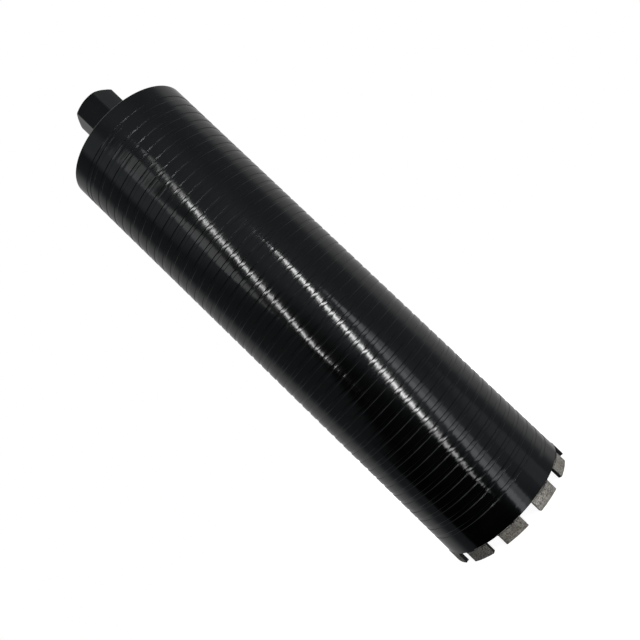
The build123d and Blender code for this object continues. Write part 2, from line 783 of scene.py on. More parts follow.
@dataclass(frozen=True)
class DiamondGrit(Finish):
    """Small yellow-green synthetic diamonds."""

    name: str = "diamond_grit"
    colour: Colour = (0.42, 0.43, 0.26)
    ior: float = 2.0
    roughness: float = 0.16

    def draw(self, sheet: NodeSheet, where: Socket, effects: Effects) -> dict[str, Any]:
        """Draws clouded, glassy crystals."""
        grain = sheet.nest(effects.grain, {"Where": where, "Grains per Metre": 900.0})
        return {
            "Base Color": self.shades(sheet, grain["Patch"], 0.5, 1.3),
            "IOR": self.ior,
            "Roughness": self.roughness + grain["Height"] * 0.2,
        }


@dataclass(frozen=True)
class BareSteel(Finish):
    """Bright turned steel with an oily film, for the hub's thread."""

    name: str = "turned_steel"
    colour: Colour = (0.42, 0.41, 0.4)
    roughness: float = 0.26
    mark_height: float = 0.012 * MM

    def draw(self, sheet: NodeSheet, where: Socket, effects: Effects) -> dict[str, Any]:
        """Draws fine turning marks under patches of film."""
        rings = sheet.nest(
            effects.rings, {"Where": where, "Rings per Metre": 6000.0, "Drift": 0.01}
        )
        film = sheet.nest(effects.grain, {"Where": where, "Grains per Metre": 500.0})["Patch"]
        return {
            "Base Color": self.shades(sheet, film, 1.0, 0.55),
            "Metallic": 1.0,
            "Roughness": self.roughness + film * 0.16,
            "Normal": sheet.bump(rings["Height"], self.mark_height, 0.7),
        }


@dataclass(frozen=True)
class BrazeMetal(Finish):
    """Silver braze, partly under black paint."""

    name: str = "silver_braze"
    colour: Colour = (0.46, 0.42, 0.34)
    paint_colour: Colour = (0.005, 0.005, 0.006)
    roughness: float = 0.36
    grain_height: float = 0.05 * MM

    def draw(self, sheet: NodeSheet, where: Socket, effects: Effects) -> dict[str, Any]:
        """Draws lumpy metal with patches of paint."""
        grain = sheet.nest(effects.grain, {"Where": where, "Grains per Metre": 1500.0})
        painted = sheet.ramp(sheet.noise(where, 75.0, detail=3.0, seed=5.5), 0.44, 0.52)
        metal = self.shades(sheet, grain["Patch"], 0.7, 1.1)
        return {
            "Base Color": sheet.tint(painted, metal, self.paint_colour),
            "Metallic": 1.0 - painted,
            "Roughness": self.roughness - painted * 0.1,
            "Normal": sheet.bump(grain["Height"], self.grain_height, 0.6),
        }


class SpiralWall:
    """A round wall with a spiral channel in it, whose rows of faces run along the channel.

    The channel is cut inwards from outside where its depth is positive, as on the barrel, and
    outwards from the bore where it is negative, as in a threaded hole. It starts as a closed
    ring at the first level and runs down from there, right-handed.
    """

    flank_rows = 4
    half_rows = flank_rows + 2
    steepness = 5.4

    def __init__(self) -> None:
        """Builds the group."""
        sheet = NodeSheet.group("spiral_wall", TreeKind.GEOMETRY)
        self.tree = sheet.tree
        columns = sheet.ask("Columns", SocketKind.WHOLE, 96)
        wall, depth, pitch, start = sheet.asks(
            "Wall Radius", "Channel Depth", "Pitch", "Start Angle"
        )
        floor_half, flank, rounding, dish = sheet.asks(
            "Floor Half Width", "Flank Width", "Flank Rounding", "Floor Dish"
        )
        first, turns, run_out = sheet.asks("First Level", "Turns", "Run Out")
        low, high, mouth = sheet.asks("Low Level", "High Level", "Mouth Radius")

        block = 2 * self.half_rows
        blocks = sheet.math("CEIL", (first - low) / pitch) + 1.0
        rows = blocks * float(block)
        grid = sheet.grid(columns, rows)
        x, y, _ = sheet.split(sheet.here())
        turn = sheet.math("ROUND", x + columns / 2) / columns
        row = sheet.math("ROUND", rows / 2 - y)

        # Each block of rows runs from one turn's centre line to the next one's, and its upper
        # and lower halves mirror each other
        number = sheet.math("FLOOR", row / float(block) + 0.5 / block)
        step = row - number * float(block)
        lower = sheet.math("GREATER_THAN", step, self.half_rows + 0.5)
        inner = float(self.half_rows) - sheet.size_of(step - float(self.half_rows))
        upper_turns = sheet.most(number - turn, 0.0)
        lower_turns = sheet.most(number + 1.0 - turn, 0.0)
        gap = (lower_turns - upper_turns) * pitch
        reach = floor_half * sheet.ramp(inner, 0.0, 1.0, smooth=False)
        reach = reach + flank * sheet.ramp(inner, 1.0, 1.0 + self.flank_rows, smooth=False)
        reach = reach + sheet.math("GREATER_THAN", inner, self.half_rows - 0.5)
        reach = sheet.least(reach, gap / 2)
        fall = sheet.blend(lower, reach, gap - reach)
        level = first - upper_turns * pitch - fall
        level = sheet.least(sheet.most(level, low), high)

        climb = sheet.share((reach - floor_half) / flank)
        steep = sheet.share(climb * (1.0 - climb) * self.steepness)
        climb = sheet.blend(rounding, climb, climb * climb * (3.0 - 2.0 * climb))
        bowl = sheet.share(1.0 - reach / floor_half)
        share = 1.0 - climb + bowl * dish
        turned = sheet.blend(lower, upper_turns, lower_turns)
        kept = 1.0 - sheet.ramp(turned, turns - run_out, turns)
        radius = sheet.most(wall - depth * share * kept, mouth - (high - level))
        place = sheet.around(radius, start + turn * FULL_TURN, level)
        noted = sheet.store(grid, "flank", steep * kept)
        sheet.give("Mesh", sheet.move(noted, place), SocketKind.MESH)

    def within(self, sheet: NodeSheet, size: dict[str, Term]) -> Term:
        """Puts the wall into a piece's tree.

        Args:
            sheet: The piece's sheet.
            size: The piece's sizes by name, of which the wall takes those that it asks for.

        Returns:
            The wall's mesh.
        """
        known = {item.name for item in self.tree.interface.items_tree}
        wanted = {name: value for name, value in size.items() if name in known}
        return sheet.nest(self.tree, wanted)["Mesh"]


@dataclass
class GroovedBarrel:
    """The barrel: a thin tube whose outside carries a shallow spiral groove."""

    wall: float = 2.2 * MM
    rim_bevel: float = 0.5 * MM
    groove_depth: float = 0.4 * MM
    groove_floor: float = 2.8 * MM
    groove_flank: float = 0.6 * MM
    groove_dish: float = 0.1
    pitch: float = 10.227 * MM
    ring_drop: float = 16.45 * MM
    start_angle: float = 20.0
    turns: float = 43.194
    run_out: float = 0.03
    columns: int = 96
    sharp_angle: float = 13.0
    wall_group: SpiralWall = field(default_factory=SpiralWall)

    def build(self, paint: Material) -> None:
        """Builds the barrel as one closed solid.

        Args:
            paint: Its finish.
        """
        low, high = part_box("barrel_tube")
        sizes = {
            "Wall Radius": high.x,
            "Channel Depth": self.groove_depth,
            "Pitch": self.pitch,
            "Floor Half Width": self.groove_floor / 2,
            "Flank Width": self.groove_flank,
            "Flank Rounding": 1.0,
            "Floor Dish": self.groove_dish,
            "First Level": high.z - self.ring_drop,
            "Turns": self.turns,
            "Run Out": self.run_out,
            "Low Level": low.z,
            "Start Angle": radians(self.start_angle),
            "Bore Radius": high.x - self.wall,
            "Rim Level": high.z,
            "Rim Bevel": self.rim_bevel,
            "Columns": self.columns,
            "Finish": paint,
        }
        sheet = NodeSheet.group("grooved_barrel", TreeKind.GEOMETRY)
        size = sheet.ask_for(sizes)
        spiral = self.wall_group.within(sheet, {**size, "High Level": size["First Level"]})
        band = self._turned_band(sheet, size, self._rim_profile(size))
        painted = sheet.paint(sheet.weld(spiral, band), size["Finish"])
        sheet.give("Mesh", painted, SocketKind.MESH)
        barrel = grow("grooved_barrel", sheet.tree, sizes)
        close_up(barrel, self.sharp_angle)
        flatten_shading(barrel)
        hand_over(barrel, Slot.PAINT, "barrel_tube")

    @staticmethod
    def _rim_profile(size: dict[str, Term]) -> list[tuple[Term, Term]]:
        """Draws the wall from the first ring's floor over the rim and down the bore.

        Args:
            size: The piece's sizes, by name.

        Returns:
            The profile's points, as pairs of radius and level.
        """
        outer, bore, rim = size["Wall Radius"], size["Bore Radius"], size["Rim Level"]
        first, floor_half = size["First Level"], size["Floor Half Width"]
        depth, flank, bevel = size["Channel Depth"], size["Flank Width"], size["Rim Bevel"]
        profile = [(outer - depth * (1.0 + size["Floor Dish"]), first)]
        for step in range(SpiralWall.flank_rows + 1):
            climb = step / SpiralWall.flank_rows
            eased = climb * climb * (3 - 2 * climb)
            profile.append((outer - depth * (1.0 - eased), first + floor_half + flank * climb))
        profile += [(outer, rim - bevel), (outer - bevel, rim), (bore, rim)]
        return profile + [(bore, size["Low Level"]), (outer, size["Low Level"])]

    @staticmethod
    def _turned_band(
        sheet: NodeSheet, size: dict[str, Term], profile: list[tuple[Term, Term]]
    ) -> Socket:
        """Turns a chain of points round the axis.

        Args:
            sheet: The piece's sheet.
            size: The piece's sizes, by name.
            profile: The points, as pairs of radius and level.

        Returns:
            The band's mesh.
        """
        runs = len(profile) - 1
        columns = size["Columns"]
        grid = sheet.grid(columns, runs)
        x, y, _ = sheet.split(sheet.here())
        turn = sheet.math("ROUND", x + columns / 2) / columns
        row = sheet.math("ROUND", y + runs / 2)
        radius, level = sheet.polyline(row, profile)
        half = SpiralWall.flank_rows / 2
        steep = sheet.ramp(sheet.size_of(row - (1.0 + half)), half, half - 1.0)
        place = sheet.around(radius, size["Start Angle"] + turn * FULL_TURN, level)
        return sheet.move(sheet.store(grid, "flank", steep), place)


@dataclass
class ThreadedHub:
    """The hexagon hub with its turned end, its spigot and its internal thread."""

    across_flats: float = 41.0 * MM
    corner_azimuth: float = -71.3
    face_radius: float = 19.5 * MM
    corner_angle: float = 30.0
    spigot_radius: float = 18.5 * MM
    bore_radius: float = 14.05 * MM
    mouth_radius: float = 16.5 * MM
    thread_depth: float = 1.82 * MM
    thread_pitch: float = 25.4 / 7 * MM
    thread_floor: float = 0.5 * MM
    thread_flank: float = 1.12 * MM
    thread_turns: float = 14.6
    thread_run_out: float = 0.7
    edge_bevel: float = 0.35 * MM
    columns: int = 96
    sharp_angle: float = 35.0

    def build(self, walls: SpiralWall, paint: Material, steel: Material) -> None:
        """Builds the hub.

        Args:
            walls: The group that makes the thread.
            paint: The finish of its outside.
            steel: The finish of its thread.
        """
        low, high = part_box("hex_hub")
        plate_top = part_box("end_plate")[1].z
        sizes = {
            "Wall Radius": self.bore_radius,
            "Channel Depth": -self.thread_depth,
            "Pitch": self.thread_pitch,
            "Floor Half Width": self.thread_floor / 2,
            "Flank Width": self.thread_flank,
            "First Level": high.z + self.thread_pitch,
            "Turns": self.thread_turns,
            "Run Out": self.thread_run_out,
            "Low Level": low.z,
            "High Level": high.z,
            "Mouth Radius": self.mouth_radius,
            "Start Angle": radians(self.corner_azimuth),
            "Columns": self.columns,
            "Finish": steel,
        }
        shell = self._shell(low.z, plate_top, high.z)
        shell.materials.append(paint)
        sheet = NodeSheet.group("threaded_hub", TreeKind.GEOMETRY)
        base = sheet.ask("Geometry", SocketKind.MESH)
        size = sheet.ask_for(sizes)
        thread = sheet.paint(walls.within(sheet, size), size["Finish"])
        sheet.give("Geometry", sheet.weld(base, thread), SocketKind.MESH)
        hub = grow("threaded_hub", sheet.tree, sizes, shell)
        close_up(hub, self.sharp_angle)
        flatten_shading(hub)
        hand_over(hub, Slot.PAINT, "hex_hub")

    def _shell(self, bottom: float, shoulder: float, top: float) -> bpy.types.Mesh:
        """Makes everything but the bore's wall.

        Args:
            bottom: The level of the spigot's end.
            shoulder: The level of the plate's face.
            top: The level of the hub's free end.

        Returns:
            The open shell, with its edges broken.
        """
        work = bmesh.new()
        rings: list[list[bmesh.types.BMVert]] = []
        for index in range(self.columns):
            turn = FULL_TURN * index / self.columns
            azimuth = radians(self.corner_azimuth) + turn
            from_flat = turn % SIXTH_TURN - SIXTH_TURN / 2
            reach = self.across_flats / 2 / cos(from_flat)
            cone = top - (reach - self.face_radius) * tan(radians(self.corner_angle))
            profile = (
                (self.mouth_radius, top), (self.face_radius, top), (reach, cone),
                (reach, shoulder), (self.spigot_radius, shoulder),
                (self.spigot_radius, bottom), (self.bore_radius, bottom),
            )
            rings.append([work.verts.new(spot(r, azimuth, z)) for r, z in profile])
        pairs = list(zip(rings, rings[1:] + rings[:1]))
        for ring, after in pairs:
            for row in range(len(ring) - 1):
                work.faces.new((ring[row], ring[row + 1], after[row + 1], after[row]))

        # The six upright edges are broken, and the two that run round the turned cone
        broken = [work.edges.get((ring[2], ring[3])) for ring in rings[:: self.columns // 6]]
        for ring, after in pairs:
            broken += [work.edges.get((ring[row], after[row])) for row in (1, 2)]
        bmesh.ops.bevel(
            work, geom=broken, offset=self.edge_bevel, offset_type="OFFSET",
            segments=2, profile=0.5, affect="EDGES", clamp_overlap=True,
        )
        return meshed("threaded_hub", work)


class BeadPath(Enum):
    """What a weld bead runs round."""

    CIRCLE = "circle"
    HEXAGON = "hexagon"


@dataclass
class WeldSeams:
    """The two seams of the end plate: one at the barrel's rim and one round the hub."""

    rim_bead: float = 1.0 * MM
    rim_ripple: float = 1.9 * MM
    rim_inset: float = 0.75 * MM
    rim_sink: float = 0.55 * MM
    hub_bead: float = 2.5 * MM
    hub_ripple: float = 2.6 * MM
    hub_bead_offset: float = 0.7 * MM
    hub_sink: float = 0.3 * MM
    ripple_height: float = 0.13
    wander: float = 0.1
    sways_per_metre: float = 90.0
    circle_points: int = 120
    corner_points: int = 7
    corner_rounding: float = 2.0 * MM
    samples: int = 5
    sides: int = 14
    sharp_angle: float = 60.0

    def build(self, paint: Material, hub: ThreadedHub) -> None:
        """Builds both seams.

        Args:
            paint: Their finish.
            hub: The hub, whose hexagon the inner seam follows.
        """
        tree = self._bead_tree()
        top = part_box("end_plate")[1].z
        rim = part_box("end_plate")[1].x - self.rim_inset
        offset = self.hub_bead_offset
        flats = hub.across_flats / 2 + offset
        jobs = (
            ("rim_weld", BeadPath.CIRCLE, rim, -self.rim_sink, self.rim_bead, self.rim_ripple),
            (
                "hub_weld", BeadPath.HEXAGON, flats, offset - self.hub_sink,
                self.hub_bead, self.hub_ripple,
            ),
        )
        shared = {
            "Ripple Height": self.ripple_height,
            "Wander": self.wander,
            "Samples": self.samples,
            "Finish": paint,
        }
        for name, path, reach, lift, radius, ripple in jobs:
            spots = self._route(path, reach, top + lift, radians(hub.corner_azimuth))
            count = len(spots)
            route = bpy.data.meshes.new(name)
            route.from_pydata(spots, [(i, (i + 1) % count) for i in range(count)], [])
            sizes = {**shared, "Bead Radius": radius, "Ripple Length": ripple}
            bead = grow(name, tree, sizes, route)
            close_up(bead, self.sharp_angle)
            hand_over(bead, Slot.PAINT)

    def _route(self, path: BeadPath, reach: float, level: float, corner: float) -> list[Vector]:
        """Draws the closed line that a bead follows.

        Args:
            path: Its kind.
            reach: Its radius, or the distance of its flats from the axis.
            level: Its level.
            corner: The azimuth of a corner.

        Returns:
            The line's points.
        """
        if path is BeadPath.CIRCLE:
            step = FULL_TURN / self.circle_points
            return [spot(reach, step * index, level) for index in range(self.circle_points)]
        centre = (reach - self.corner_rounding) / cos(SIXTH_TURN / 2)
        spots: list[Vector] = []
        for side in range(6):
            middle = corner + side * SIXTH_TURN
            for index in range(self.corner_points):
                turn = middle + (index / (self.corner_points - 1) - 0.5) * SIXTH_TURN
                spots.append(spot(centre, middle, level) + spot(self.corner_rounding, turn, 0.0))
        return spots

    def _bead_tree(self) -> Tree:
        """Makes a bead of overlapping ripples along a closed line of edges."""
        sheet = NodeSheet.group("weld_bead", TreeKind.GEOMETRY)
        line = sheet.ask("Geometry", SocketKind.MESH)
        radius, ripple, height, wander = sheet.asks(
            "Bead Radius", "Ripple Length", "Ripple Height", "Wander"
        )
        samples = sheet.ask("Samples", SocketKind.WHOLE)
        finish = sheet.ask("Finish", SocketKind.FINISH)
        curve = sheet.node("GeometryNodeMeshToCurve", {0: line})
        even = sheet.node(
            "GeometryNodeResampleCurve",
            {"Curve": curve.outputs[0], "Length": ripple / samples},
            mode="LENGTH",
        )
        along = Term(sheet, sheet.node("GeometryNodeSplineParameter").outputs["Length"])
        phase = sheet.math("FRACT", along / ripple)
        scallop = 1.0 - phase * phase
        sway = sheet.noise(sheet.here(), self.sways_per_metre, seed=6.1)
        width = radius * (1.0 - height + scallop * height + (sway - 0.5) * wander * 2.0)
        tube = sheet.bead(even.outputs[0], self.sides, width)
        sheet.give("Mesh", sheet.paint(sheet.weld(tube), finish), SocketKind.MESH)
        return sheet.tree


@dataclass
class Crown:
    """The eleven segments, with their diamonds, and the braze at their roots."""

    length: float = 24.0 * MM
    outer_radius: float = 66.0 * MM
    inner_radius: float = 62.4 * MM
    height: float = 10.0 * MM
    corner_rounding: float = 0.9 * MM
    edge_rounding: float = 0.3 * MM
    roughness: float = 0.11 * MM
    pit_depth: float = 0.28 * MM
    stand_out: float = 0.14 * MM
    cell: float = 0.3 * MM
    end_depths: Span = (0.2 * MM, 0.05 * MM)
    coarse_dents_per_metre: float = 330.0
    fine_dents_per_metre: float = 1300.0
    dent_share: float = 0.7
    pits_per_metre: float = 520.0
    pit_levels: Span = (0.63, 0.72)
    pit_seed_step: int = 40
    grit_size: float = 0.2 * MM
    grit_density: float = 1.5e5
    grit_least: float = 0.45
    grit_turn: float = 6.28
    grit_seed_step: int = 7
    grit_clearance: float = 1.3
    barrel_radius: float = 65.4 * MM
    braze_offset: float = 0.05 * MM
    braze_radius: float = 0.42 * MM
    braze_least: float = 0.55
    braze_lump: float = 0.9
    lumps_per_metre: float = 420.0
    braze_points: int = 90
    braze_sides: int = 8
    sharp_angle: float = 60.0

    def build(self, metal: Material, grit: Material, braze: Material) -> None:
        """Builds the segments and their braze.

        Args:
            metal: The finish of the segments.
            grit: The finish of the diamonds.
            braze: The finish of the braze.
        """
        shared = {
            "Length": self.length,
            "Outer Radius": self.outer_radius,
            "Inner Radius": self.inner_radius,
            "Height": self.height,
            "Corner Rounding": self.corner_rounding,
            "Edge Rounding": self.edge_rounding,
            "Roughness": self.roughness,
            "Pit Depth": self.pit_depth,
            "Grit Stand Out": self.stand_out,
            "Cells Along": round(self.length / self.cell),
            "Cells Across": round((self.outer_radius - self.inner_radius) / self.cell),
            "Cells Up": round(self.height / self.cell),
            "Grit Size": self.grit_size,
            "Grit Density": self.grit_density,
            "Grit Finish": grit,
            "Path Radius": self.barrel_radius + self.braze_offset,
            "Level": self.height,
            "Bead Radius": self.braze_radius,
        }
        nodes = sorted(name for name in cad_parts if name.startswith("segment_"))
        segment_tree = self._segment_tree()
        braze_tree = self._braze_tree()
        for number, node in enumerate(nodes, 1):
            low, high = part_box(node)
            middle = (low + high) / 2
            azimuth = Vector((middle.x, middle.y)).angle_signed(Vector((1.0, 0.0)))
            sizes = {**shared, "Azimuth": azimuth, "Seed": number}
            name = f"sintered_segment_{number:02d}"
            piece = grow(name, segment_tree, {**sizes, "Finish": metal})
            shade(piece, self.sharp_angle)
            hand_over(piece, Slot.SEGMENT, node)
            bead = grow(f"braze_seam_{number:02d}", braze_tree, {**sizes, "Finish": braze})
            close_up(bead, self.sharp_angle)
            hand_over(bead, Slot.SEGMENT)

    def _segment_tree(self) -> Tree:
        """Bends a finely divided block round the axis, wears its edges and sets its diamonds."""
        sheet = NodeSheet.group("sintered_segment", TreeKind.GEOMETRY)
        azimuth, length, outer, inner, height = sheet.asks(
            "Azimuth", "Length", "Outer Radius", "Inner Radius", "Height"
        )
        corner, edge, rough, pit_depth, stand_out = sheet.asks(
            "Corner Rounding", "Edge Rounding", "Roughness", "Pit Depth", "Grit Stand Out"
        )
        along, across, up, seed = sheet.asks(
            "Cells Along", "Cells Across", "Cells Up", "Seed", kind=SocketKind.WHOLE
        )
        finish = sheet.ask("Finish", SocketKind.FINISH)

        sizes = (length, outer - inner, height)
        counts = {"Vertices X": along + 1, "Vertices Y": across + 1, "Vertices Z": up + 1}
        block = sheet.node("GeometryNodeMeshCube", {"Size": sheet.join(*sizes), **counts})
        x, y, z = sheet.split(sheet.here())
        on_end = sheet.ramp(length / 2 - sheet.size_of(x), *self.end_depths)
        noted = sheet.store(block.outputs["Mesh"], "end_face", on_end)
        x, y, z = self._rounded(sheet, (x, y, z), sizes, edge)
        x, z = self._tip_corners(sheet, x, z, length, height, corner)
        shaped = sheet.move(noted, sheet.join(x, y, z))
        here = sheet.here()
        coarse = sheet.noise(here, self.coarse_dents_per_metre, detail=2.0, seed=seed)
        fine = sheet.noise(here, self.fine_dents_per_metre, detail=2.0, seed=seed)
        other_seed = seed + self.pit_seed_step
        holes = sheet.noise(here, self.pits_per_metre, detail=1.0, seed=other_seed)
        pit = sheet.ramp(holes, *self.pit_levels)
        # The pit mask is stored for the finish, which darkens the pits with painted shade as well
        # as roughening them
        pitted = sheet.store(shaped, "pit", pit)
        even = 1.0 - coarse * self.dent_share - fine * self.dent_share
        dent = rough * even + pit_depth * pit

        # The sides lie deeper than the nominal size by as much as the diamonds stand out of them
        n_x, n_y, n_z = sheet.split(sheet.node("GeometryNodeInputNormal").outputs[0])
        sideways = (dent + stand_out) * -1.0
        inward = sheet.join(n_x * sideways, n_y * sideways, n_z * dent * -1.0)
        worn = sheet.node("GeometryNodeSetPosition", {"Geometry": pitted, "Offset": inward})
        u, v, w = sheet.split(sheet.here())
        place = sheet.around((outer + inner) / 2 + v, azimuth + u / outer, w + height / 2)
        painted = sheet.paint(sheet.move(worn.outputs[0], place), finish)

        # The bend mirrors the block, so its faces are turned to look outwards again
        outward = sheet.node("GeometryNodeFlipFaces", {"Mesh": painted})
        grains = self._grains(sheet, painted, seed)
        sheet.give("Mesh", sheet.unite(grains, outward.outputs[0]), SocketKind.MESH)
        return sheet.tree

    @staticmethod
    def _rounded(
        sheet: NodeSheet,
        point: tuple[Term, Term, Term],
        sizes: tuple[Term, Term, Term],
        radius: Term,
    ) -> tuple[Term, Term, Term]:
        """Rounds all edges of a block.

        Args:
            sheet: The piece's sheet.
            point: A point of the block's surface.
            sizes: The block's three sizes.
            radius: The radius of its edges.

        Returns:
            The point on the rounded block.
        """
        cores, overs = [], []
        for part, size in zip(point, sizes):
            limit = size / 2 - radius
            core = sheet.least(sheet.most(part, limit * -1.0), limit)
            cores.append(core)
            overs.append(part - core)
        largest = sheet.size_of(overs[0])
        for over in overs[1:]:
            largest = sheet.most(largest, sheet.size_of(over))
        squares = overs[0] * overs[0] + overs[1] * overs[1] + overs[2] * overs[2]
        scale = largest / sheet.most(sheet.math("SQRT", squares), SMALLEST)
        x, y, z = (core + over * scale for core, over in zip(cores, overs))
        return x, y, z

    @staticmethod
    def _tip_corners(
        sheet: NodeSheet, x: Term, z: Term, length: Term, height: Term, radius: Term
    ) -> tuple[Term, Term]:
        """Rounds the two upright corners of the cutting face.

        Args:
            sheet: The piece's sheet.
            x: The place along the segment.
            z: The level in the segment, from its middle.
            length: The segment's length.
            height: The segment's height.
            radius: The radius of the corners.

        Returns:
            The two places on the rounded outline.
        """
        side = sheet.math("SIGN", x)
        out = sheet.most(sheet.size_of(x) - (length / 2 - radius), 0.0)
        down = sheet.most(z * -1.0 - (height / 2 - radius), 0.0)
        diagonal = sheet.most(sheet.math("SQRT", out * out + down * down), SMALLEST)
        scale = sheet.most(out, down) / diagonal
        both = sheet.math("GREATER_THAN", sheet.least(out, down), SMALLEST)
        pull = 1.0 - sheet.blend(both, 1.0, scale)
        return x - side * out * pull, z + down * pull

    def _grains(self, sheet: NodeSheet, skin: Socket, seed: Term) -> Socket:
        """Sets small crystals into a skin, each turned and sized at random.

        Args:
            sheet: The piece's sheet.
            skin: The mesh that holds them.
            seed: The fixed seed.

        Returns:
            The crystals' mesh.
        """
        size, density = sheet.asks("Grit Size", "Grit Density")
        finish = sheet.ask("Grit Finish", SocketKind.FINISH)
        spread = sheet.node(
            "GeometryNodeDistributePointsOnFaces",
            {"Mesh": skin, "Density": density, "Seed": seed},
        )

        # A point on an end face counts as a metre lower, so that no crystal is set into paint
        _, _, level = sheet.split(sheet.here())
        end_face = sheet.node("GeometryNodeInputNamedAttribute", {"Name": "end_face"})
        level = level - Term(sheet, end_face.outputs["Attribute"])
        crystal = sheet.node("GeometryNodeMeshIcoSphere", {"Radius": size, "Subdivisions": 1})
        placed = sheet.node(
            "GeometryNodeInstanceOnPoints",
            {
                "Points": spread.outputs["Points"],
                "Selection": sheet.math("GREATER_THAN", level, size * self.grit_clearance),
                "Instance": crystal.outputs[0],
                "Rotation": sheet.drawn(0.0, self.grit_turn, seed),
                "Scale": sheet.drawn(self.grit_least, 1.0, seed + self.grit_seed_step),
            },
        )
        return sheet.paint(sheet.realize(placed.outputs[0]), finish)

    def _braze_tree(self) -> Tree:
        """Makes an uneven bead along a segment's root, in the step up to the barrel."""
        sheet = NodeSheet.group("braze_seam", TreeKind.GEOMETRY)
        azimuth, length, reach, level, radius = sheet.asks(
            "Azimuth", "Length", "Path Radius", "Level", "Bead Radius"
        )
        seed = sheet.ask("Seed", SocketKind.WHOLE)
        finish = sheet.ask("Finish", SocketKind.FINISH)
        line = sheet.node(
            "GeometryNodeCurvePrimitiveLine", {"Start": (-0.5, 0, 0), "End": (0.5, 0, 0)}
        )
        even = sheet.node(
            "GeometryNodeResampleCurve",
            {"Curve": line.outputs[0], "Count": self.braze_points},
            mode="COUNT",
        )
        x, _, _ = sheet.split(sheet.here())
        place = sheet.around(reach, azimuth + x * length / reach, level)
        laid = sheet.move(even.outputs[0], place)
        lump = sheet.noise(sheet.here(), self.lumps_per_metre, detail=2.0, seed=seed)
        width = radius * (self.braze_least + lump * self.braze_lump)
        tube = sheet.bead(laid, self.braze_sides, width, capped=True)
        sheet.give("Mesh", sheet.paint(sheet.weld(tube), finish), SocketKind.MESH)
        return sheet.tree


@dataclass(frozen=True)
class Stand:
    """A place in front of the bit and the way it looks, in metres and degrees."""

    distance: float
    level: float
    pan: float
    tilt: float
    roll: float

    @property
    def turn(self) -> Quaternion:
        """Its orientation, with -Z ahead and +Y up in the rolled picture."""
        pan, tilt = radians(self.pan), radians(self.tilt)
        ahead = Vector((sin(pan) * cos(tilt), cos(pan) * cos(tilt), sin(tilt)))
        upright = ahead.to_track_quat("-Z", "Y")
        return upright @ Quaternion((0.0, 0.0, 1.0), -radians(self.roll))

    def carry(
        self, seat: bpy.types.Object, across: float = 0.0, up: float = 0.0, back: float = 0.0
    ) -> None:
        """Puts an object at or beside the stand, turned like it.

        Args:
            seat: The object.
            across: How far to the picture's right.
            up: How far towards the picture's top.
            back: How far behind it.
        """
        place = Vector((0.0, -self.distance, self.level))
        seat.rotation_mode = "QUATERNION"
        seat.rotation_quaternion = self.turn
        seat.location = place + self.turn @ Vector((across, up, back))


@dataclass(frozen=True)
class Softbox:
    """A flat lamp that faces the bit, placed in the picture's own axes."""

    name: str
    across: float
    up: float
    width: float
    height: float
    radiance: float
    turn: float = 0.0
    lights_matt: bool = True
    tint: Colour = (1.0, 1.0, 1.0)
    ahead: float = 0.0


@dataclass(frozen=True)
class Panel:
    """A flat lamp that stands round the bit and faces its axis."""

    name: str
    azimuth: float
    distance: float
    level: float
    width: float
    height: float
    radiance: float
    mirrored: bool = True


@dataclass(frozen=True)
class TentCloth:
    """The tent's grey cloth, lighter or darker by where it hangs.

    A place on it is read as a direction from its middle: to the picture's right, to its top
    and back past the camera, each from -1 to 1.
    """

    base: float = 0.12
    high_lift: float = 0.08
    far_lift: float = 0.28
    near_top_lift: float = 0.1
    side_lift: float = 0.2
    left_lift: float = 0.28
    under_shade: float = 0.99
    low_right_shade: float = 0.75
    near_colour: Colour = (0.9, 1.0, 1.06)
    far_colour: Colour = (1.0, 1.0, 1.0)

    def build(self) -> Material:
        """Draws the glowing cloth.

        Returns:
            The material.
        """
        material = bpy.data.materials.new("tent_cloth")
        sheet = cleared(material)
        where = sheet.node("ShaderNodeTexCoord").outputs["Object"]
        unit = sheet.node("ShaderNodeVectorMath", {0: where}, operation="NORMALIZE")
        right, up, back = sheet.split(unit.outputs[0])
        high = sheet.ramp(up + right * 0.8, -0.7, 0.3)
        far_high = sheet.ramp(back, -0.17, -0.5)
        far_low = sheet.ramp(back, -0.3, -0.62)
        far_side = sheet.blend(high, far_low, far_high)
        near_top = sheet.ramp(back, 0.25, 0.75) * high
        level = self.base + high * self.high_lift
        level = level + far_side * self.far_lift + near_top * self.near_top_lift

        # Two lighter cloths: a strip at the right, and a smaller one at the left
        side_cloth = sheet.ramp(right, 0.74, 0.82) * sheet.ramp(back, 0.02, 0.1)
        side_cloth = side_cloth * (1.0 - sheet.ramp(back, 0.42, 0.5))
        level = level + side_cloth * self.side_lift
        left_cloth = sheet.ramp(right, -0.62, -0.85) * sheet.ramp(back, 0.08, 0.26)
        left_cloth = left_cloth * sheet.ramp(up, -0.5, -0.2) * sheet.ramp(up, 0.3, 0.05)
        level = level + left_cloth * self.left_lift

        # Two darker places: the low part of the near side, and low at the right
        under = sheet.ramp(back, -0.09, -0.02) * sheet.ramp(up, 0.38, -0.42)
        under = under * sheet.ramp(right, -0.62, -0.5)
        level = level * (1.0 - under * self.under_shade)
        low_right = sheet.ramp(right, 0.55, 0.78) * sheet.ramp(up, 0.32, 0.05)
        level = level * (1.0 - low_right * self.low_right_shade)
        cloth = sheet.tint(far_side, self.near_colour, self.far_colour)
        glow = sheet.node("ShaderNodeEmission", {"Color": cloth, "Strength": level})
        sheet.node("ShaderNodeOutputMaterial", {"Surface": glow.outputs[0]})
        return material


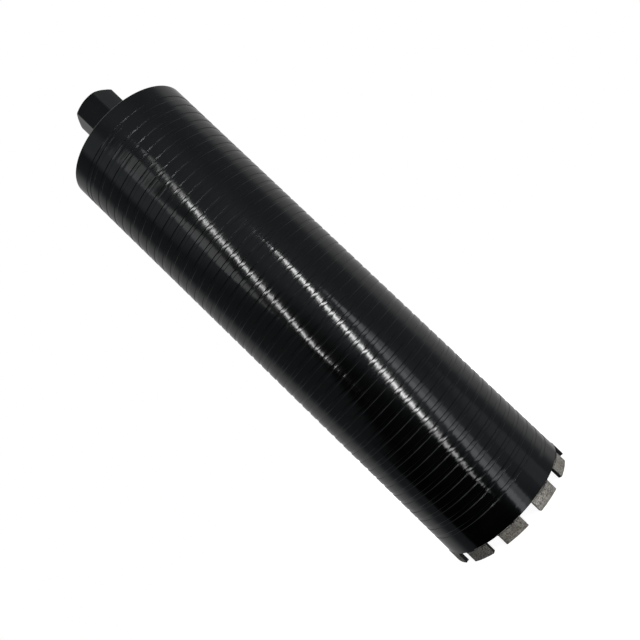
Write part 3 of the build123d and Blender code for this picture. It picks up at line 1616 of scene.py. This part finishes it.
@dataclass
class Studio:
    """The camera, the lamps, the light tent, the white world and the floor."""

    eye: Stand = Stand(0.5445, 0.1920, 0.2281, 4.4673, 46.194)
    rig: Stand = Stand(0.5219, 0.2040, 0.2553, 3.4300, 46.139)
    lens: float = 33.322
    sensor_width: float = 36.0
    clip: Span = (0.01, 30.0)
    lamp_setback: float = 0.4913
    fill: float = 0.16
    floor_radius: float = 3.0
    floor_colour: Colour = (0.55, 0.55, 0.55)
    floor_lift: float = 0.95
    tent_radius: float = 3.5
    cloth: TentCloth = TentCloth()
    softboxes: tuple[Softbox, ...] = (
        Softbox("left_strip", -0.492, -0.035, 0.088, 0.77, 4.5, lights_matt=False),
        Softbox("left_core", -0.492, -0.035, 0.036, 0.75, 15.0, lights_matt=False, ahead=0.01),
        Softbox("left_strip_fade", -0.492, 0.395, 0.064, 0.09, 5.5, lights_matt=False),
        Softbox("left_strip_end", -0.492, 0.510, 0.056, 0.14, 2.2, lights_matt=False),
        Softbox("right_strip", 0.208, 0.3175, 0.092, 0.835, 6.0, lights_matt=False),
        Softbox("right_core", 0.208, 0.3175, 0.040, 0.815, 20.0, ahead=0.01),
        Softbox("right_strip_fade", 0.208, -0.180, 0.066, 0.16, 8.0),
        Softbox("right_strip_end", 0.208, -0.310, 0.050, 0.10, 5.0),
        Softbox("window", 0.510, 0.19, 0.140, 1.16, 1.85, tint=(0.97, 0.99, 1.05)),
        Softbox("window_edge", 0.650, 0.25, 0.160, 1.0, 0.85, tint=(0.97, 0.99, 1.05)),
        Softbox("left_beam", -0.960, 0.17, 0.64, 0.11, 1.0, 33.0, lights_matt=False),
        Softbox("left_panel", -0.920, -0.20, 0.36, 0.40, 1.1, lights_matt=False),
    )
    panels: tuple[Panel, ...] = (
        Panel("back_strip", 90.0, 1.0, 0.5, 0.2, 1.2, 9.0),
        Panel("key_cloth", -45.0, 1.5, 0.3, 0.9, 0.9, 7.0, mirrored=False),
    )

    def build(self) -> None:
        """Sets the whole studio up."""
        self._camera()
        self._lamps()
        self._tent()
        self._world()
        self._floor()
        bpy.context.scene.view_settings.view_transform = "Standard"

    def _camera(self) -> None:
        """Places the camera."""
        camera = bpy.data.cameras.new("camera")
        camera.lens = self.lens
        camera.sensor_width = self.sensor_width
        camera.clip_start, camera.clip_end = self.clip
        seat = shown("camera", camera)
        self.eye.carry(seat)
        bpy.context.scene.camera = seat

    @staticmethod
    def _lamp(plan: Union[Softbox, Panel]) -> tuple[bpy.types.Light, bpy.types.Object]:
        """Makes a flat lamp that the camera doesn't see.

        Args:
            plan: Its name, its size and its radiance.

        Returns:
            The lamp and its object, at the origin.
        """
        lamp = bpy.data.lights.new(plan.name, "AREA")
        lamp.shape = "RECTANGLE"
        lamp.size, lamp.size_y = plan.width, plan.height
        lamp.energy = plan.radiance * pi * plan.width * plan.height
        seat = shown(plan.name, lamp)
        seat.visible_camera = False
        return lamp, seat

    def _lamps(self) -> None:
        """Hangs the softboxes behind the camera, square to the picture, and sets up the panels."""
        for box in self.softboxes:
            lamp, seat = self._lamp(box)
            lamp.color = box.tint
            self.rig.carry(seat, box.across, box.up, self.lamp_setback - box.ahead)
            tilted = Quaternion((0.0, 0.0, 1.0), radians(box.turn))
            seat.rotation_quaternion = self.rig.turn @ tilted
            seat.visible_diffuse = box.lights_matt
        for panel in self.panels:
            _, seat = self._lamp(panel)
            azimuth = radians(panel.azimuth)
            seat.location = spot(panel.distance, azimuth, panel.level)
            seat.rotation_euler = spot(1.0, azimuth, 0.0).to_track_quat("Z", "Y").to_euler()
            seat.visible_glossy = panel.mirrored

    def _tent(self) -> None:
        """Hangs a grey tent round the set, which only reflections see."""
        work = bmesh.new()
        bmesh.ops.create_uvsphere(work, u_segments=64, v_segments=32, radius=self.tent_radius)
        bmesh.ops.reverse_faces(work, faces=work.faces)
        mesh = meshed("light_tent", work)
        mesh.shade_smooth()
        mesh.materials.append(self.cloth.build())
        tent = shown("light_tent", mesh)
        self.rig.carry(tent)
        tent.visible_camera = False
        tent.visible_diffuse = False
        tent.visible_transmission = False
        tent.visible_shadow = False

    def _world(self) -> None:
        """Makes the world white to the camera and to reflections, and a soft fill to the rest."""
        world = bpy.data.worlds.new("studio")
        bpy.context.scene.world = world
        sheet = cleared(world)
        seen = self._seen(sheet)
        fill, white = (
            sheet.node("ShaderNodeBackground", {"Color": WHITE, "Strength": strength}).outputs[0]
            for strength in (self.fill, 1.0)
        )
        mixed = sheet.node("ShaderNodeMixShader", {0: seen, 1: fill, 2: white})
        sheet.node("ShaderNodeOutputWorld", {"Surface": mixed.outputs[0]})

    @staticmethod
    def _seen(sheet: NodeSheet) -> Term:
        """1 for rays of the camera, of reflections and through glass, and 0 for the others."""
        path = sheet.node("ShaderNodeLightPath").outputs
        seen = Term(sheet, path["Is Camera Ray"]) + Term(sheet, path["Is Glossy Ray"])
        return sheet.share(seen + Term(sheet, path["Is Transmission Ray"]))

    def _floor(self) -> None:
        """Lays a round pale floor that shows white and keeps the bit's shadow."""
        work = bmesh.new()
        bmesh.ops.create_circle(work, cap_ends=True, segments=96, radius=self.floor_radius)
        mesh = meshed("floor", work)
        floor = shown("floor", mesh)
        floor.visible_glossy = False
        material = bpy.data.materials.new("floor_paper")
        sheet = cleared(material)
        paper = sheet.node("ShaderNodeBsdfDiffuse", {"Color": (*self.floor_colour, 1.0)})
        lift = self._seen(sheet) * self.floor_lift
        glow = sheet.node("ShaderNodeEmission", {"Color": WHITE, "Strength": lift})
        both = sheet.node("ShaderNodeAddShader", {0: paper.outputs[0], 1: glow.outputs[0]})
        sheet.node("ShaderNodeOutputMaterial", {"Surface": both.outputs[0]})
        mesh.materials.append(material)


def dress_plate(paint: Material) -> None:
    """Gives the end plate, which keeps its CAD form, its finish.

    Args:
        paint: The finish.
    """
    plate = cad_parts["end_plate"]
    plate.data.materials.clear()
    plate.data.materials.append(paint)
    log.info("end_plate: painted")


def main() -> None:
    """Builds the finishes, the pieces and the studio, in that order."""
    logging.basicConfig(level=logging.INFO, format="%(name)s %(message)s")
    effects = Effects()
    paint = BlackPaint().build(effects)
    metal = SinteredMetal().build(effects)
    grit = DiamondGrit().build(effects)
    steel = BareSteel().build(effects)
    braze = BrazeMetal().build(effects)
    barrel = GroovedBarrel()
    barrel.build(paint)
    hub = ThreadedHub()
    hub.build(barrel.wall_group, paint, steel)
    dress_plate(paint)
    WeldSeams().build(paint, hub)
    Crown().build(metal, grit, braze)
    Studio().build()


if __name__ == "__main__":
    main()
